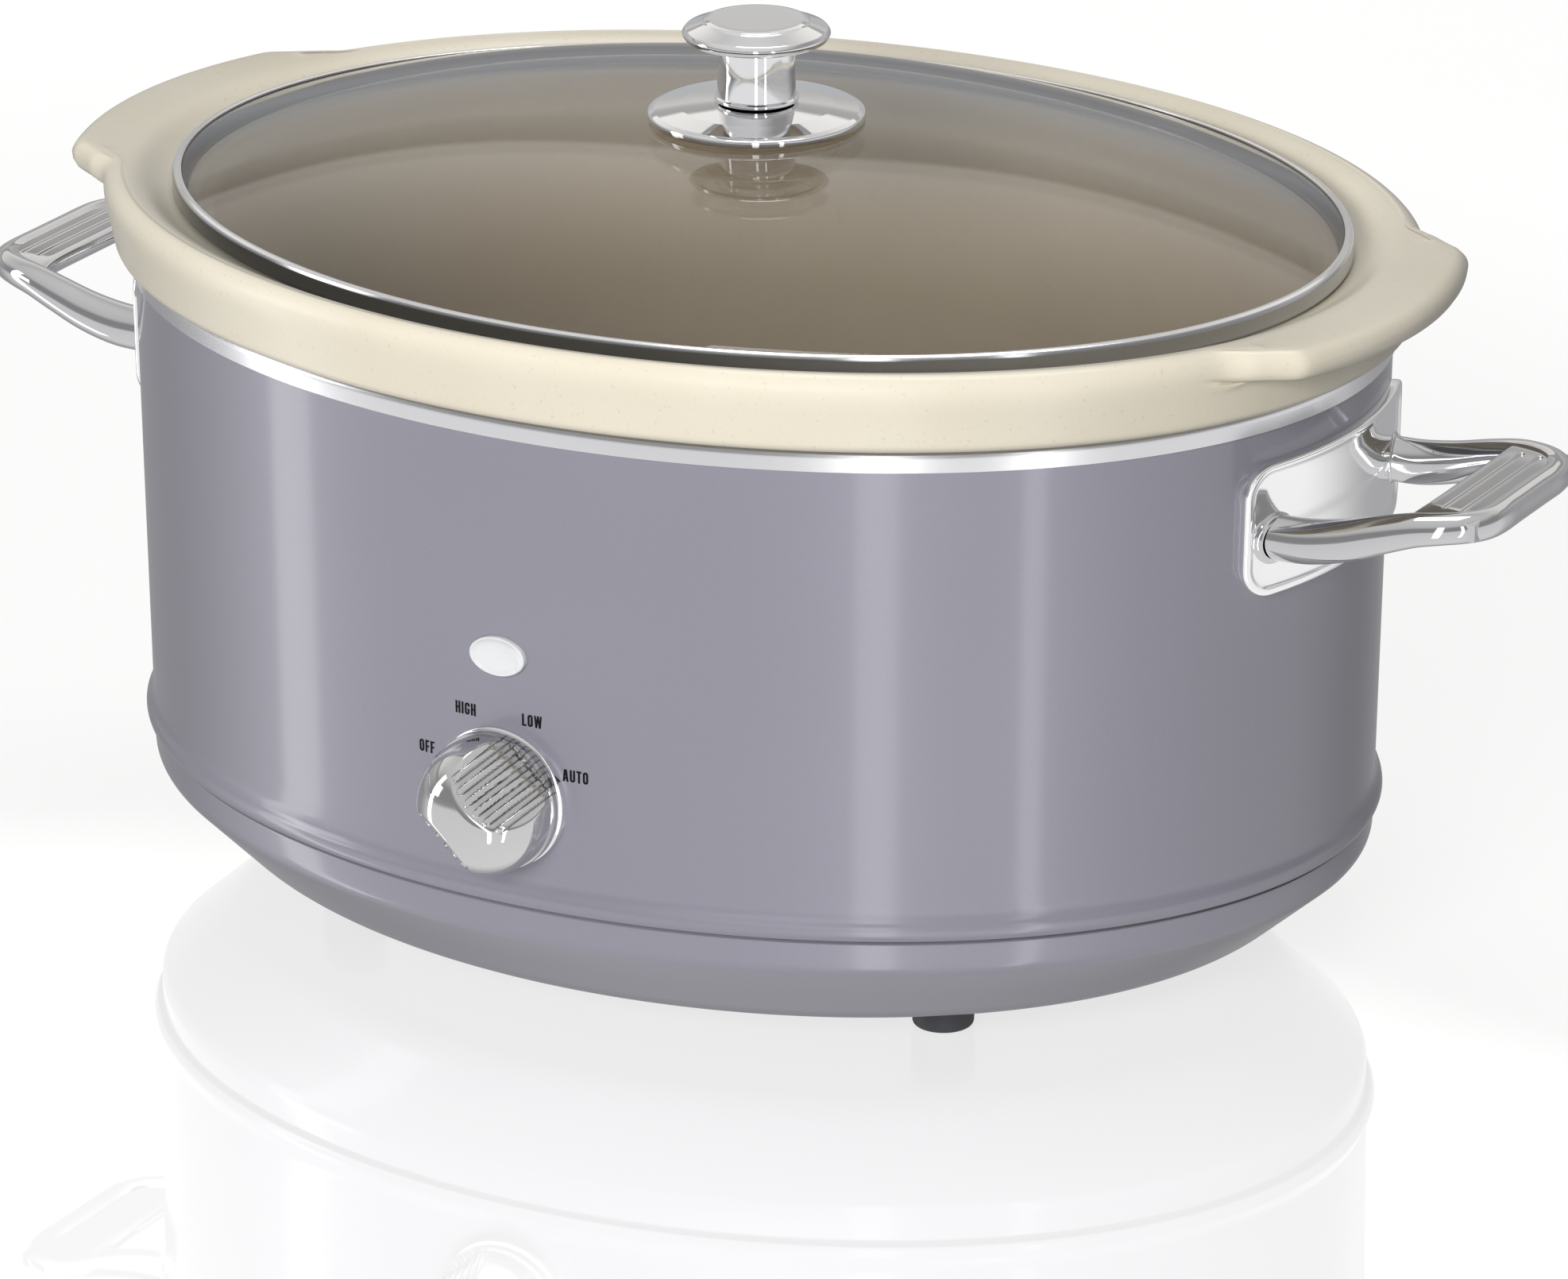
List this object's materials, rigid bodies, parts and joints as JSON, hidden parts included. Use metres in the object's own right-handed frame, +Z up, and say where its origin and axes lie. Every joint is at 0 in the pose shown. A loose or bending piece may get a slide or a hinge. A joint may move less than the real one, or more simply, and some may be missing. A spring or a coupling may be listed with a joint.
{
  "type": "slow cooker",
  "caption": "Oval slow cooker with a lift-out stoneware pot, a lift-off glass lid, side handles and a rotary heat switch.",
  "frame": {"origin": "on the table, under the middle of the cooker's oval", "axes": "+Z up, long side of the oval along X, control knob and lamp at the front (-Y), cord gland at the back (+Y)"},
  "size_m": [0.448, 0.3083, 0.24],
  "materials": {
    "shell_paint": "gloss metallic lilac-grey paint on sheet steel",
    "pan_paint": "gloss metallic lilac-grey paint on sheet steel",
    "bright_sheet": "bright rolled aluminised sheet",
    "mica_band": "thin sheet case round a mica heater",
    "plated_steel": "zinc-plated steel",
    "dark_moulding": "dark heat-resistant moulding",
    "fuse_ceramic": "white ceramic body",
    "white_moulding": "off-white moulding",
    "black_moulding": "black moulding",
    "bright_trim": "polished bright plating",
    "lens_plastic": "milky clear lens",
    "lamp_glass": "small neon lamp",
    "contact_brass": "plain brass",
    "foot_rubber": "dark grey rubber",
    "wire_brown": "brown wire sleeve",
    "wire_blue": "blue wire sleeve",
    "wire_red": "red wire sleeve",
    "wire_green": "green and yellow wire sleeve",
    "stoneware": "cream gloss glaze",
    "lid_glass": "clear toughened glass, very slightly smoky",
    "rim_steel": "polished stainless steel",
    "clear_washer": "clear silicone"
  },
  "bodies": {
    "base": {"outer_shell": "shell_paint", "base_pan": "pan_paint", "inner_liner": "bright_sheet", "heater_band": "mica_band", "heater_clamps": "plated_steel", "thermostat": "dark_moulding", "thermostat_bracket": "plated_steel", "thermal_fuse": "fuse_ceramic", "rotary_switch": "white_moulding", "switch_bracket": "plated_steel", "switch_nut": "plated_steel", "knob_bezel": "bright_trim", "indicator_lens": "lens_plastic", "lamp_holder": "white_moulding", "neon_lamp": "lamp_glass", "terminal_block": "white_moulding", "terminal_screws": "contact_brass", "cord_gland": "black_moulding", "gland_nut": "black_moulding", "earth_tag": "contact_brass", "tie_stud": "plated_steel", "tie_washer": "plated_steel", "tie_nut": "plated_steel", "foot_front_left": "foot_rubber", "foot_front_right": "foot_rubber", "foot_rear_left": "foot_rubber", "foot_rear_right": "foot_rubber", "foot_screws": "plated_steel", "handle_plate_left": "bright_trim", "handle_plate_right": "bright_trim", "handle_grip_left": "bright_trim", "handle_grip_right": "bright_trim", "handle_screws": "plated_steel", "handle_washers": "dark_moulding", "wire_live": "wire_brown", "wire_neutral": "wire_blue", "wire_heat": "wire_red", "wire_earth": "wire_green"},
    "crock": {"crock": "stoneware"},
    "lid": {"lid_glass": "lid_glass", "lid_rim": "rim_steel", "knob_plate": "bright_trim", "knob_stem": "bright_trim", "knob_cap": "bright_trim", "seal_washer": "clear_washer", "under_washer": "plated_steel", "lid_screw": "plated_steel"},
    "control": {"control_knob": "bright_trim", "switch_shaft": "plated_steel", "knob_spring_clip": "plated_steel"}
  },
  "joints": [
    {"name": "crock_lift", "type": "slide", "parent": "base", "child": "crock", "axis": [0, 0, 1], "range_m": [0, 0.17]},
    {"name": "lid_lift", "type": "slide", "parent": "crock", "child": "lid", "axis": [0, 0, 1], "range_m": [0, 0.12]},
    {"name": "knob_turn", "type": "hinge", "parent": "base", "child": "control", "pos_m": [0, -0.14, 0.0704], "axis": [0, 1, 0], "range_deg": [-20, 115]}
  ]
}
